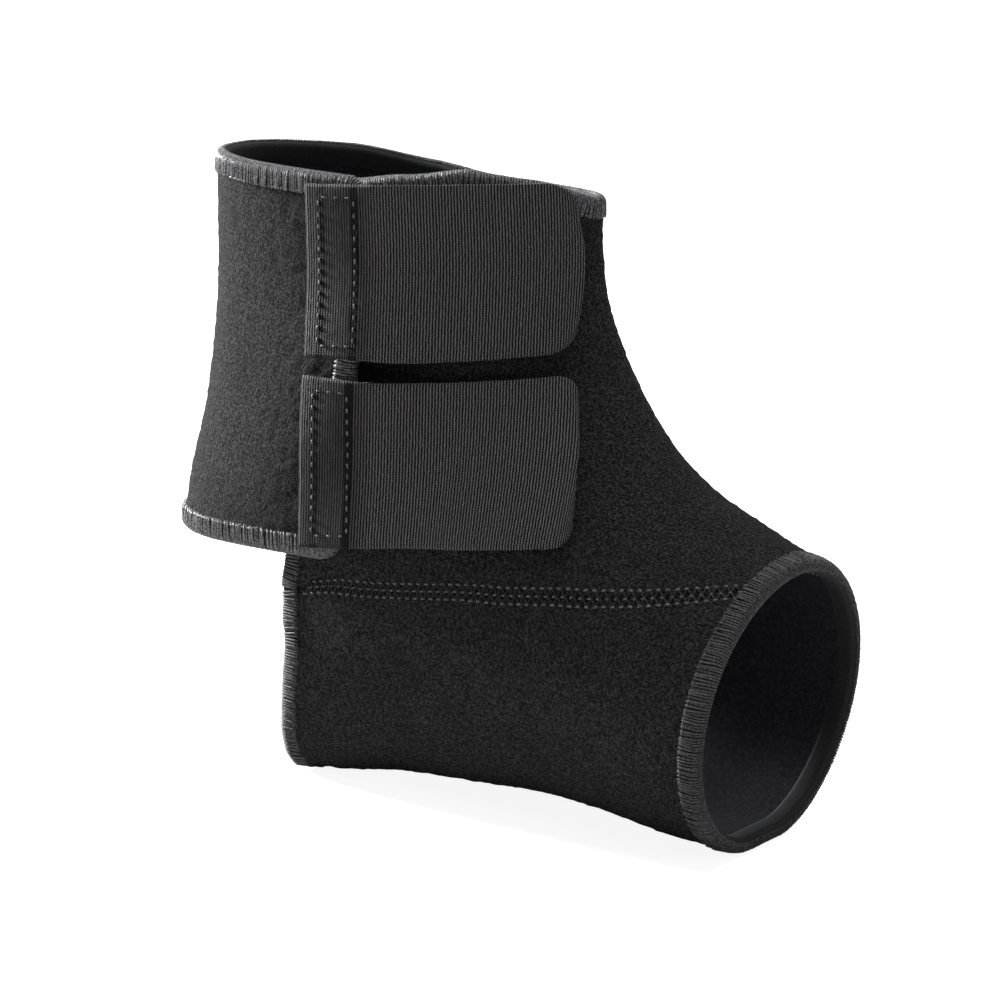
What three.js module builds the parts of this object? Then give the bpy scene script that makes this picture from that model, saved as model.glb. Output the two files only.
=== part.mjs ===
// Ankle support for the left foot: an open-heel foot tube and a leg wrap of loop-faced foam laminate,
// closed by two hook straps, with overlocked edges. Millimetres, +X to the toes, +Z up the leg,
// origin on the floor under the ankle.
import * as THREE from "three";

// Overall sizes
const LENGTH = 210;
const HEIGHT = 182;
const WIDTH = 92;

// Cloth, thread and strap sizes
const WALL = 3.5;
const THREAD = 0.7;
const EDGE_BAND = 6;
const STRAP_WIDTH = 50;
const STRAP_THICKNESS = 1.6;
const STRAP_CORNER = 5;
const FLAP_CORNER = 8;

// Clearances between neighbouring pieces
const SEAM_GAP = 0.5;
const EDGE_GAP = 0.5;
const LAYER_GAP = 0.3;

// Heights of the middle of each layer over the middle of the body wall
const EDGE_BUILD = EDGE_GAP + THREAD;
const FLAP_LIFT = WALL + 2 * EDGE_BUILD + LAYER_GAP;
const STRAP_LIFT = WALL / 2 + EDGE_BUILD + LAYER_GAP + STRAP_THICKNESS / 2;
const GROUND = WALL / 2 + EDGE_BUILD;
const GROUND_EASE = 1;

// Sections from the toe opening to the top rim, each from the instep line to the sole or back line.
// x is a share of LENGTH, z of HEIGHT, y and the half widths of WIDTH; pinch sharpens the shin crease
// and box fills out the corners of the sole.
const COLUMNS = ["frontX", "frontY", "frontZ", "backX", "backY", "backZ", "near", "far", "pinch", "box"];
const SECTIONS = [
  [0.467, 0.054, 0.458, 0.435, 0.049, 0.012, 0.48, 0.443, 0.0, 0.0],
  [0.424, 0.054, 0.475, 0.338, 0.043, 0.02, 0.473, 0.45, 0.05, 0.15],
  [0.371, 0.054, 0.505, 0.238, 0.038, 0.038, 0.462, 0.452, 0.15, 0.25],
  [0.308, 0.065, 0.54, 0.133, 0.033, 0.046, 0.457, 0.446, 0.3, 0.3],
  [0.25, 0.076, 0.59, 0.019, 0.033, 0.038, 0.457, 0.435, 0.45, 0.35],
  [0.203, 0.087, 0.65, -0.105, 0.033, 0.028, 0.46, 0.429, 0.5, 0.4],
  [0.164, 0.098, 0.715, -0.219, 0.033, 0.006, 0.468, 0.424, 0.5, 0.5],
  [0.136, 0.109, 0.772, -0.324, 0.033, 0.0, 0.47, 0.413, 0.5, 0.5],
  [0.122, 0.109, 0.817, -0.44, 0.033, 0.11, 0.462, 0.402, 0.5, 0.4],
  [0.115, 0.109, 0.852, -0.488, 0.022, 0.264, 0.446, 0.391, 0.5, 0.2],
  [0.112, 0.109, 0.879, -0.482, 0.022, 0.418, 0.424, 0.37, 0.5, 0.1],
  [0.109, 0.109, 0.907, -0.462, 0.022, 0.571, 0.391, 0.326, 0.45, 0.0],
  [0.106, 0.109, 0.94, -0.455, 0.033, 0.758, 0.359, 0.283, 0.25, 0.0],
  [0.105, 0.109, 0.979, -0.465, 0.033, 0.99, 0.337, 0.239, 0.05, 0.0],
];
const LAST = SECTIONS.length - 1;
const SCALE = [LENGTH, WIDTH, HEIGHT, LENGTH, WIDTH, HEIGHT, WIDTH, WIDTH, 1, 1];

// Rise of the top rim over its straight section line: turn in degrees, share of HEIGHT.
// The turn is 0 at the shin crease, minus on the near side, 180 at the back and more on the flap.
const RIM_RISE = [
  [-110, 0.0], [-92, 0.003], [-74, 0.022], [-55, 0.04], [-34, 0.03], [0, 0.0],
  [78, -0.018], [98, -0.008], [123, 0.003], [180, 0.0], [230, 0.008], [270, 0.013],
];

// Number of section rows over which the rise fades in below the rim
const RIM_BLEND = 2;

// Side seam height along the foot: x share of LENGTH, z share of HEIGHT
const SEAM = [[-0.25, 0.328], [-0.133, 0.357], [0.1, 0.39], [0.229, 0.405], [0.467, 0.438]];

// Rear edge of the foot tube and of the near panel under the flap: z share of HEIGHT, x share of LENGTH
const REAR_EDGE = [
  [0.0, -0.254], [0.012, -0.265], [0.03, -0.271], [0.055, -0.274], [0.121, -0.272], [0.236, -0.262],
  [0.335, -0.24], [0.38, -0.234], [0.55, -0.235], [0.99, -0.238],
];

// Lower hem of the leg wrap: turn in degrees, z share of HEIGHT
const HEM = [[98, 0.346], [103, 0.36], [110, 0.368], [125, 0.374], [180, 0.367], [215, 0.384], [265, 0.406]];

// Free end of the wrap over the near panel: z share of HEIGHT, x share of LENGTH
const FLAP_END = [[0.39, -0.122], [0.72, -0.128], [1.0, -0.143]];
const FLAP_TOP = 0.99;

// Turns in degrees between which the wrap lifts off the body to pass over the near panel
const WRAP_RAMP = [178, 238];

// Straps in side view at the sewn end and the free end: middle x as a share of LENGTH, lean of the end
// line, width as a share of STRAP_WIDTH, and the space over the strap
const STRAPS = [
  { name: "upper_strap", sewn: [-0.207, 0.12, 1.0, 4], free: [0.1, 0.09, 1.0, -1.9] },
  { name: "lower_strap", sewn: [-0.185, 0.06, 0.95, 5], free: [0.167, 0.38, 0.87, 6.2] },
];

// A strap runs level to this distance past the flap's thread, and is down on the near panel at the other
const STRAP_LEVEL = 1;
const STRAP_STEP = 30;

// Mesh steps: along the foot, up the leg, round the panel, round the wrap, round the sole, along a strap
const FOOT_STEPS = [0, 0.04, 0.1, 0.2, 0.3, 0.4, 0.5, 0.6, 0.7, 0.8, 0.9, 0.96, 1];
const LEG_STEPS = [0, 0.04, 0.09, 0.16, 0.26, 0.38, 0.5, 0.62, 0.74, 0.84, 0.91, 0.96, 1];
const PANEL_STEPS = spread(-1, 1, 24);
const WRAP_STEPS = spread(0, 1, 24);
const SOLE_STEPS = spread(1, -1, 28);
const STRAP_STEPS = spread(0, 1, 18);
const STRAP_ACROSS = spread(1, -1, 4);

// The hem's overlock runs to this wrap step, the other threads meet it and the sole's with small gaps
const HEM_CUT = 21;
const HEM_CUT_GAP = 0.003;
const EDGE_JOIN = 0.4;
const HEEL_END = 0.985;
const STEP_CLEAR = 0.01;

// Turns and rows between which the edges are searched for
const FAR_TURNS = [0.01, Math.PI - 0.01];
const FLAP_TURNS = [Math.PI + 0.1, 2 * Math.PI - 0.3];
const HEEL_ROWS = [5, 9];
const CORNER_ROWS = [5, 10];
const HEM_ROWS = [6, LAST - 1];
const NEAR_ROWS = [3, LAST + 1];
const HALVINGS = 40;
const RISE_ROUNDS = 6;

const BLACK_PILE = 0x242324;
const BLACK_TAPE = 0x2e2d2e;
const BLACK_THREAD = 0x2a2a2b;

// Value of a table of [position, value] rows at a position, half straight and half eased between rows
// and level past its ends
function between(table, position) {
  const next = table.findIndex((row) => row[0] >= position);
  if (next === 0) return table[0][1];
  if (next < 0) return table[table.length - 1][1];
  const [before, after] = [table[next - 1], table[next]];
  const part = (position - before[0]) / (after[0] - before[0]);
  const eased = part * part * (3 - 2 * part);
  const mixed = 0.5 * (part + eased);
  return THREE.MathUtils.lerp(before[1], after[1], mixed);
}

// Smooth value of one column of SECTIONS at a row number that may lie between two rows
function sectionValue(column, row) {
  const index = COLUMNS.indexOf(column);
  const low = Math.min(Math.max(Math.floor(row), 0), LAST - 1);
  const at = (i) => SECTIONS[i][index];
  const [start, end] = [at(low), at(low + 1)];
  const before = low > 0 ? at(low - 1) : 2 * start - end;
  const after = low + 2 <= LAST ? at(low + 2) : 2 * end - start;
  const part = row - low;
  const bend = 2 * before - 5 * start + 4 * end - after;
  const twist = 3 * (start - end) + after - before;
  return SCALE[index] * (start + 0.5 * part * (end - before + part * (bend + part * twist)));
}

// Place on a section in side view, before the ground and the rim change its height
function sideView(row, turn) {
  const share = 0.5 * (1 + Math.cos(turn));
  const value = (column) => sectionValue(column, row);
  const mix = (back, front) => THREE.MathUtils.lerp(value(back), value(front), share);
  return { x: mix("backX", "frontX"), z: mix("backZ", "frontZ"), y: mix("backY", "frontY"), share };
}

// Point on the middle of the body wall: row along the body, turn round it in radians
function bodyPoint(row, turn) {
  const middle = sideView(row, turn);
  const side = Math.sin(turn);
  const half = sectionValue(side < 0 ? "near" : "far", row);
  const sharpness = 1 + sectionValue("pinch", row) * middle.share ** 2;
  const fullness = sectionValue("box", row) * (1 - middle.share) ** 2;
  const rise = HEIGHT * between(RIM_RISE, THREE.MathUtils.radToDeg(turn));
  const blend = THREE.MathUtils.smoothstep(row, LAST - RIM_BLEND, LAST);
  const y = middle.y + Math.sign(side) * half * Math.abs(side) ** (sharpness - fullness);
  const over = Math.max(middle.z - GROUND, 0);
  const height = GROUND + over ** 2 / (over + GROUND_EASE);
  return new THREE.Vector3(middle.x, y, height + rise * blend);
}

// Outward direction of the body wall
function bodyNormal(row, turn) {
  const rowStep = 0.05;
  const turnStep = THREE.MathUtils.degToRad(1.5);
  const alongRow = bodyPoint(row + rowStep, turn).sub(bodyPoint(row - rowStep, turn));
  const alongTurn = bodyPoint(row, turn + turnStep).sub(bodyPoint(row, turn - turnStep));
  return alongTurn.cross(alongRow).normalize();
}

// Point at a height over the middle of the body wall
function liftedPoint(row, turn, lift) {
  return bodyPoint(row, turn).addScaledVector(bodyNormal(row, turn), lift);
}

// Value between low and high at which a measure changes its sign
function solve(measure, [low, high]) {
  const startsOver = measure(low) > 0;
  let [from, to] = [low, high];
  for (let round = 0; round < HALVINGS; round += 1) {
    const middle = 0.5 * (from + to);
    if (measure(middle) > 0 === startsOver) from = middle;
    else to = middle;
  }
  return 0.5 * (from + to);
}

function rearEdgeX(z) {
  return LENGTH * between(REAR_EDGE, z / HEIGHT);
}

// Turns at which a section crosses the side seam, the rear edge and the end of the flap
function seamTurn(row) {
  const over = (turn) => {
    const at = sideView(row, turn);
    return at.z - HEIGHT * between(SEAM, at.x / LENGTH);
  };
  return solve(over, FAR_TURNS);
}

function rearTurn(row) {
  const ahead = (turn) => {
    const at = sideView(row, turn);
    return at.x - rearEdgeX(at.z);
  };
  return solve(ahead, FAR_TURNS);
}

// How far a rounded corner of the flap cuts in at a distance from the edge next to it
function cornerCut(toEdge) {
  const inCorner = THREE.MathUtils.clamp(FLAP_CORNER - toEdge, 0, FLAP_CORNER * 0.99);
  return FLAP_CORNER - Math.sqrt(FLAP_CORNER ** 2 - inCorner ** 2);
}

function flapEndX(z) {
  return LENGTH * between(FLAP_END, z / HEIGHT);
}

function flapEndTurn(row) {
  const behind = (turn) => {
    const at = sideView(row, turn);
    return flapEndX(at.z) - cornerCut(HEIGHT * FLAP_TOP - at.z) - at.x;
  };
  return solve(behind, FLAP_TURNS);
}

// Row at which the side seam meets the rear edge, and row at which the hem leaves it on the far side
const seamEndRow = solve((row) => {
  const at = sideView(row, seamTurn(row));
  return at.x - rearEdgeX(at.z);
}, HEEL_ROWS);
const hemStartRow = solve((row) => sideView(row, rearTurn(row)).z - HEIGHT * HEM[0][1], CORNER_ROWS);

// Row along the rear edge of the sole at a turn
function soleRearRow(turn) {
  const ahead = (row) => {
    const at = sideView(row, turn);
    return at.x - rearEdgeX(at.z);
  };
  return solve(ahead, HEEL_ROWS);
}

// Height of the wrap over the body as it runs from the far side round the back and over the near panel
function wrapLift(turn) {
  return FLAP_LIFT * THREE.MathUtils.smoothstep(THREE.MathUtils.radToDeg(turn), ...WRAP_RAMP);
}

// Place on the wrap: across from 0 at the far rear edge to 1 at the flap's end, up from hem to rim
function wrapPlace(across, up) {
  const turnAt = (row) => THREE.MathUtils.lerp(rearTurn(row), flapEndTurn(row), across);
  const overHem = (row) => {
    const turn = turnAt(row);
    const at = sideView(row, turn);
    const hem = HEIGHT * between(HEM, THREE.MathUtils.radToDeg(turn));
    return at.z - hem - cornerCut(flapEndX(at.z) - at.x);
  };
  const hemRow = across === 0 ? hemStartRow : solve(overHem, HEM_ROWS);
  const row = THREE.MathUtils.lerp(hemRow, LAST, up);
  const turn = turnAt(row);
  return { row, turn, lift: wrapLift(turn) };
}

// Evenly spaced values from one end to the other
function spread(from, to, steps) {
  return Array.from({ length: steps + 1 }, (_, i) => THREE.MathUtils.lerp(from, to, i / steps));
}

// Turn moved along the wall by a distance
function nudge(row, turn, distance) {
  const step = 0.01;
  const length = bodyPoint(row, turn + step).distanceTo(bodyPoint(row, turn - step)) / (2 * step);
  return turn + distance / length;
}

// Closed cloth solid from places and four-sided faces, half the thickness to each side of them
function cloth(places, faces, thickness) {
  const outer = places.map((p) => liftedPoint(p.row, p.turn, p.lift + thickness / 2));
  const inner = places.map((p) => liftedPoint(p.row, p.turn, p.lift - thickness / 2));
  const points = [...outer, ...inner];
  const count = places.length;
  const triangles = [];
  const addFace = (a, b, c, d) => triangles.push(a, b, c, a, c, d);
  const edges = new Set();
  for (const [a, b, c, d] of faces) {
    addFace(a, b, c, d);
    addFace(d + count, c + count, b + count, a + count);
    for (const [from, to] of [[a, b], [b, c], [c, d], [d, a]]) edges.add(from + "/" + to);
  }
  for (const edge of edges) {
    const [from, to] = edge.split("/").map(Number);
    if (!edges.has(to + "/" + from)) addFace(to, from, from + count, to + count);
  }
  return solid(points, triangles);
}

// Geometry with flat faces from points and triangle corners
function solid(points, triangles) {
  const geometry = new THREE.BufferGeometry();
  geometry.setAttribute("position", new THREE.Float32BufferAttribute(points.flatMap((p) => p.toArray()), 3));
  geometry.setIndex(triangles);
  geometry.computeVertexNormals();
  return geometry;
}

// Faces of a grid of place numbers
function gridFaces(grid) {
  const faces = [];
  for (let i = 0; i + 1 < grid.length; i += 1) {
    for (let j = 0; j + 1 < grid[i].length; j += 1) {
      faces.push([grid[i][j], grid[i][j + 1], grid[i + 1][j + 1], grid[i + 1][j]]);
    }
  }
  return faces;
}

// Rows shared by the panels: along the seam, up to the hem's corner and up the leg
const SEAM_ROWS = FOOT_STEPS.map((along) => along * seamEndRow);
const LEG_ROWS = LEG_STEPS.map((up) => THREE.MathUtils.lerp(hemStartRow, LAST, up));

// Upper panel: near side, instep, far side and the wrap that closes over the near side
function upperPanel() {
  const places = [];
  const add = (place) => places.push(place) - 1;
  const panelRow = (row) => {
    const limit = row < seamEndRow ? nudge(row, seamTurn(row), -SEAM_GAP / 2) : rearTurn(row);
    return PANEL_STEPS.map((step) => add({ row, turn: limit * step, lift: 0 }));
  };
  const grid = [...SEAM_ROWS, ...LEG_ROWS].map(panelRow);
  const joinRows = grid.slice(-LEG_ROWS.length);
  const wrap = joinRows.map((joined, i) => {
    const beyond = WRAP_STEPS.slice(1).map((across) => add(wrapPlace(across, LEG_STEPS[i])));
    return [joined[joined.length - 1], ...beyond];
  });
  return cloth(places, [...gridFaces(grid), ...gridFaces(wrap)], WALL);
}

// Sole panel: a trough under the foot from seam to seam
function solePlace(along, across) {
  const rearShare = Math.abs(across);
  const rearTurnHere = THREE.MathUtils.lerp(Math.PI, seamTurn(seamEndRow), rearShare);
  const row = along * soleRearRow(rearTurnHere);
  const seam = nudge(row, seamTurn(row), SEAM_GAP / 2);
  const turn = THREE.MathUtils.lerp(Math.PI, seam, rearShare);
  return { row, turn: across < 0 ? 2 * Math.PI - turn : turn, lift: 0 };
}

function solePanel() {
  const places = [];
  const grid = FOOT_STEPS.map((along) => {
    return SOLE_STEPS.map((across) => places.push(solePlace(along, across)) - 1);
  });
  return cloth(places, gridFaces(grid), WALL);
}

// Place on the near side of the body at a position in side view, with the rise of the rim allowed for
function nearPlace(x, z) {
  let place = straightPlace(x, z);
  for (let round = 0; round < RISE_ROUNDS; round += 1) {
    const rise = bodyPoint(place.row, place.turn).z - sideView(place.row, place.turn).z;
    place = straightPlace(x, z - rise);
  }
  return place;
}

function straightPlace(x, z) {
  const beside = (row) => {
    const front = sideView(row, 0);
    const back = sideView(row, Math.PI);
    return (front.x - back.x) * (z - back.z) - (front.z - back.z) * (x - back.x);
  };
  const row = solve(beside, NEAR_ROWS);
  const front = sideView(row, 0);
  const back = sideView(row, Math.PI);
  const share = (x - back.x) / (front.x - back.x);
  return { row, turn: -Math.acos(THREE.MathUtils.clamp(2 * share - 1, -1, 1)) };
}

// Side view of a strap part of the way along it; the straps hang from the rim one under the other
function strapLine(number, along) {
  const rows = STRAPS.slice(0, number + 1).map(({ sewn, free }) => {
    return sewn.map((value, i) => THREE.MathUtils.lerp(value, free[i], along));
  });
  const foot = rows.reduce((height, [, , width, space]) => height - space - width * STRAP_WIDTH, HEIGHT);
  const [x, lean, width] = rows[number];
  return { x: LENGTH * x, z: foot + (width * STRAP_WIDTH) / 2, lean, half: (width * STRAP_WIDTH) / 2 };
}

// Hook strap: sewn to the flap, stepping down past the flap's end on to the near panel
function strap(number) {
  const places = [];
  const length = strapLine(number, 1).x - strapLine(number, 0).x;
  const grid = STRAP_STEPS.map((along) => {
    const line = strapLine(number, along);
    const inCorner = THREE.MathUtils.clamp(STRAP_CORNER - length * (1 - along), 0, STRAP_CORNER);
    const cut = STRAP_CORNER - Math.sqrt(STRAP_CORNER ** 2 - inCorner ** 2);
    return STRAP_ACROSS.map((across) => {
      const offset = across * (line.half - cut);
      const x = line.x - offset * line.lean;
      const z = line.z + offset;
      const pastFlap = x - LENGTH * between(FLAP_END, z / HEIGHT);
      const down = THREE.MathUtils.smoothstep(pastFlap, EDGE_BUILD + STRAP_LEVEL, STRAP_STEP);
      const place = nearPlace(x, z);
      return places.push({ ...place, lift: STRAP_LIFT + FLAP_LIFT * (1 - down) }) - 1;
    });
  });
  return cloth(places, gridFaces(grid), STRAP_THICKNESS);
}

// Place moved over the body wall by a distance in millimetres
function movedPlace(place, direction, distance) {
  const rowStep = 0.02;
  const turnStep = 0.01;
  const at = (row, turn) => bodyPoint(row, turn);
  const alongRow = at(place.row + rowStep, place.turn).sub(at(place.row - rowStep, place.turn));
  const alongTurn = at(place.row, place.turn + turnStep).sub(at(place.row, place.turn - turnStep));
  alongRow.divideScalar(2 * rowStep);
  alongTurn.divideScalar(2 * turnStep);
  const [rr, rt, tt] = [alongRow.dot(alongRow), alongRow.dot(alongTurn), alongTurn.dot(alongTurn)];
  const [dr, dt] = [alongRow.dot(direction) * distance, alongTurn.dot(direction) * distance];
  const scale = rr * tt - rt * rt;
  const row = place.row + (dr * tt - dt * rt) / scale;
  const turn = place.turn + (dt * rr - dr * rt) / scale;
  return { row, turn, lift: place.onWrap ? wrapLift(turn) : place.lift };
}

// Triangles that close the end of an overlock channel
const CHANNEL_CAP = [[0, 2, 1], [0, 7, 2], [7, 3, 2], [7, 6, 3], [6, 4, 3], [6, 5, 4]];

// Overlock edge: a thread channel round the cut edge along a path of places
function overlock(path, closed) {
  const inner = WALL / 2 + EDGE_GAP;
  const outer = inner + THREAD;
  const middles = path.map((p) => liftedPoint(p.row, p.turn, p.lift));
  const count = path.length;
  const points = [];
  path.forEach((place, i) => {
    const before = closed ? (i + count - 1) % count : Math.max(i - 1, 0);
    const after = closed ? (i + 1) % count : Math.min(i + 1, count - 1);
    const arriving = middles[i].clone().sub(middles[before]).normalize();
    const leaving = middles[after].clone().sub(middles[i]).normalize();
    const along = arriving.clone().add(leaving).normalize();
    const mitre = Math.max(along.dot(arriving), along.dot(leaving));
    const normal = bodyNormal(place.row, place.turn);
    const outward = along.clone().cross(normal).normalize();
    const inPlace = movedPlace(place, outward, -EDGE_BAND);
    const inNormal = bodyNormal(inPlace.row, inPlace.turn);
    const inMiddle = liftedPoint(inPlace.row, inPlace.turn, inPlace.lift);
    const onBand = (up) => inMiddle.clone().addScaledVector(inNormal, up);
    const onRim = (out, up) => {
      return middles[i].clone().addScaledVector(outward, out / mitre).addScaledVector(normal, up);
    };
    points.push(onBand(inner), onBand(outer), onRim(EDGE_BUILD, outer), onRim(EDGE_BUILD, -outer));
    points.push(onBand(-outer), onBand(-inner), onRim(EDGE_GAP, -inner), onRim(EDGE_GAP, inner));
  });
  const sides = points.length / count;
  const triangles = [];
  const steps = closed ? count : count - 1;
  for (let i = 0; i < steps; i += 1) {
    const next = (i + 1) % count;
    for (let k = 0; k < sides; k += 1) {
      const [a, b] = [i * sides + k, i * sides + ((k + 1) % sides)];
      const [c, d] = [next * sides + ((k + 1) % sides), next * sides + k];
      triangles.push(a, b, c, a, c, d);
    }
  }
  if (!closed) {
    const far = (count - 1) * sides;
    for (const [a, b, c] of CHANNEL_CAP) triangles.push(a, b, c, far + c, far + b, far + a);
  }
  return solid(points, triangles);
}

// Paths of the cut edges, each with the cloth on the same hand
function frontRimPath() {
  const seam = seamTurn(0);
  const upper = PANEL_STEPS.map((step) => seam * step);
  const turns = [...upper, ...SOLE_STEPS.slice(1, -1).map((across) => solePlace(0, across).turn)];
  return turns.map((turn) => ({ row: 0, turn, lift: 0 }));
}

const joinRow = THREE.MathUtils.lerp(seamEndRow, hemStartRow, EDGE_JOIN);

function nearEdgePath() {
  const cornerClear = EDGE_BAND + 2 * EDGE_BUILD;
  const legHeight = HEIGHT * (SECTIONS[LAST][2] - HEM[0][1]);
  const topEnd = 1 - cornerClear / legHeight;
  const upSteps = [...LEG_STEPS.filter((up) => up < topEnd - STEP_CLEAR), topEnd].reverse();
  const rows = [...upSteps.map((up) => THREE.MathUtils.lerp(hemStartRow, LAST, up)), joinRow];
  return rows.map((row) => ({ row, turn: -rearTurn(row), lift: 0 }));
}

function heelEdgePath() {
  const inside = SOLE_STEPS.slice(1, -1).reverse();
  return [-HEEL_END, ...inside, HEEL_END].map((across) => solePlace(1, across));
}

function hemPath() {
  const farEdge = { row: joinRow, turn: rearTurn(joinRow), lift: 0 };
  return [farEdge, ...WRAP_STEPS.slice(0, HEM_CUT + 1).map((across) => onWrap(across, 0))];
}

function onWrap(across, up) {
  return { ...wrapPlace(across, up), onWrap: true };
}

function topRimPath() {
  const hemStart = WRAP_STEPS[HEM_CUT] + HEM_CUT_GAP;
  const hem = [hemStart, ...WRAP_STEPS.slice(HEM_CUT + 1, -1)].map((across) => onWrap(across, 0));
  const end = LEG_STEPS.map((up) => onWrap(1, up));
  const wrapRim = [...WRAP_STEPS].reverse().slice(1).map((across) => onWrap(across, 1));
  const limit = rearTurn(LAST);
  const panelSteps = [...PANEL_STEPS].reverse().slice(1);
  const panelRim = panelSteps.map((step) => ({ row: LAST, turn: limit * step, lift: 0 }));
  return [...hem, ...end, ...wrapRim, ...panelRim];
}

function piece(name, geometry, color, roughness) {
  const material = new THREE.MeshStandardMaterial({ color, roughness, metalness: 0 });
  const mesh = new THREE.Mesh(geometry, material);
  mesh.name = name;
  return mesh;
}

const pieces = new THREE.Group();
pieces.add(piece("upper_panel", upperPanel(), BLACK_PILE, 0.95));
pieces.add(piece("sole_panel", solePanel(), BLACK_PILE, 0.95));
STRAPS.forEach((row, number) => pieces.add(piece(row.name, strap(number), BLACK_TAPE, 0.7)));
pieces.add(piece("front_rim_overlock", overlock(frontRimPath(), true), BLACK_THREAD, 0.6));
pieces.add(piece("heel_edge_overlock", overlock(heelEdgePath(), false), BLACK_THREAD, 0.6));
pieces.add(piece("hem_overlock", overlock(hemPath(), false), BLACK_THREAD, 0.6));
pieces.add(piece("near_edge_overlock", overlock(nearEdgePath(), false), BLACK_THREAD, 0.6));
pieces.add(piece("top_rim_overlock", overlock(topRimPath(), false), BLACK_THREAD, 0.6));

// The origin is on the floor under the middle of the whole support
const box = new THREE.Box3().setFromObject(pieces);
const middle = box.getCenter(new THREE.Vector3());
pieces.position.set(-middle.x, -middle.y, -box.min.z);

const support = new THREE.Group();
support.add(pieces);

export default support;
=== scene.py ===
# %% [markdown]
# # A wrap ankle support
# The real object is soft: two panels of foam laminate with a loop pile outside and a smooth jersey inside,
# sewn together along the sides of the foot, with every cut edge wrapped in overlock thread and two wide
# hook straps that close the leg. It keeps its form because the laminate is 3.5 mm thick.
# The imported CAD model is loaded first, and every piece below takes its place from it.

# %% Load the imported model
import math

import bmesh
import bpy
import numpy as np
from mathutils import Matrix, Vector, noise


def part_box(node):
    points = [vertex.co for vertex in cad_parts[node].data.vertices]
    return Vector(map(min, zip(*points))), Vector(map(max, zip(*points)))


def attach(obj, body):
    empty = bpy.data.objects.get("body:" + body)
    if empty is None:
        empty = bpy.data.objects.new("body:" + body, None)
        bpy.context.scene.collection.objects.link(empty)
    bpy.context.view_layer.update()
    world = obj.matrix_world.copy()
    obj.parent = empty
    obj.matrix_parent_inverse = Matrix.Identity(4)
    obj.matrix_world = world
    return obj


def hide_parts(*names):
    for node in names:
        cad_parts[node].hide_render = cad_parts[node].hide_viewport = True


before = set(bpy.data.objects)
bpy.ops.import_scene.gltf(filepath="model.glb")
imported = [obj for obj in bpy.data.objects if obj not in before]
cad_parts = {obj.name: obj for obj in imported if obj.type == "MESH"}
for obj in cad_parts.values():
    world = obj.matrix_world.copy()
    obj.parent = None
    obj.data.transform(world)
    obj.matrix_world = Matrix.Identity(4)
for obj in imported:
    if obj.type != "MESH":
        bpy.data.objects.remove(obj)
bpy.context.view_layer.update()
MM = 0.001

# %% [markdown]
# ## The body surface
# Foot tube and leg are one smooth skin. It could be sculpted, but a skin that follows a rule can be asked
# for a point anywhere, which is what thread, stitches and straps need later. So the skin is a short table
# of sections, from the toe opening to the top rim, and every section runs from the shin crease round to
# the sole or the back. All lengths are shares of the three overall sizes.

# %% Sizes of the skin
LENGTH = 210 * MM
WIDTH = 92 * MM
HEIGHT = 182 * MM
WALL = 3.5 * MM
COLUMNS = ["frontX", "frontY", "frontZ", "backX", "backY", "backZ", "near", "far", "pinch", "box"]
SECTIONS = np.array([
    [0.467, 0.054, 0.458, 0.435, 0.049, 0.012, 0.480, 0.443, 0.00, 0.00],
    [0.424, 0.054, 0.475, 0.338, 0.043, 0.020, 0.473, 0.450, 0.05, 0.15],
    [0.371, 0.054, 0.505, 0.238, 0.038, 0.038, 0.462, 0.452, 0.15, 0.25],
    [0.308, 0.065, 0.540, 0.133, 0.033, 0.046, 0.457, 0.446, 0.30, 0.30],
    [0.250, 0.076, 0.590, 0.019, 0.033, 0.038, 0.457, 0.435, 0.45, 0.35],
    [0.203, 0.087, 0.650, -0.105, 0.033, 0.028, 0.460, 0.429, 0.50, 0.40],
    [0.164, 0.098, 0.715, -0.219, 0.033, 0.006, 0.468, 0.424, 0.50, 0.50],
    [0.136, 0.109, 0.772, -0.324, 0.033, 0.000, 0.470, 0.413, 0.50, 0.50],
    [0.122, 0.109, 0.817, -0.440, 0.033, 0.110, 0.462, 0.402, 0.50, 0.40],
    [0.115, 0.109, 0.852, -0.488, 0.022, 0.264, 0.446, 0.391, 0.50, 0.20],
    [0.112, 0.109, 0.879, -0.482, 0.022, 0.418, 0.424, 0.370, 0.50, 0.10],
    [0.109, 0.109, 0.907, -0.462, 0.022, 0.571, 0.391, 0.326, 0.45, 0.00],
    [0.106, 0.109, 0.940, -0.455, 0.033, 0.758, 0.359, 0.283, 0.25, 0.00],
    [0.105, 0.109, 0.979, -0.465, 0.033, 0.990, 0.337, 0.239, 0.05, 0.00],
])
LAST = len(SECTIONS) - 1
SCALE = np.array([LENGTH, WIDTH, HEIGHT, LENGTH, WIDTH, HEIGHT, WIDTH, WIDTH, 1, 1])
print(len(SECTIONS), "sections")

# %% Sizes of the edges and layers
# The turn round a section is 0 at the shin crease, minus on the near side, 180 at the back and more on the
# flap. Each table is a list of two columns: where, and the value there.
RIM_RISE = [
    [-110, 0.0], [-92, 0.003], [-74, 0.022], [-55, 0.04], [-34, 0.03], [0, 0.0],
    [78, -0.018], [98, -0.008], [123, 0.003], [180, 0.0], [230, 0.008], [270, 0.013],
]
RIM_BLEND = 2
SEAM = [[-0.25, 0.328], [-0.133, 0.357], [0.1, 0.39], [0.229, 0.405], [0.467, 0.438]]
REAR_EDGE = [
    [0.0, -0.254], [0.012, -0.265], [0.03, -0.271], [0.055, -0.274], [0.121, -0.272], [0.236, -0.262],
    [0.335, -0.24], [0.38, -0.234], [0.55, -0.235], [0.99, -0.238],
]
HEM = [[98, 0.346], [103, 0.36], [110, 0.368], [125, 0.374], [180, 0.367], [215, 0.384], [265, 0.406]]
FLAP_END = [[0.39, -0.122], [0.72, -0.128], [1.0, -0.143]]
FLAP_TOP = 0.99
FLAP_CORNER = 8 * MM
WRAP_RAMP = [178, 238]
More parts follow.
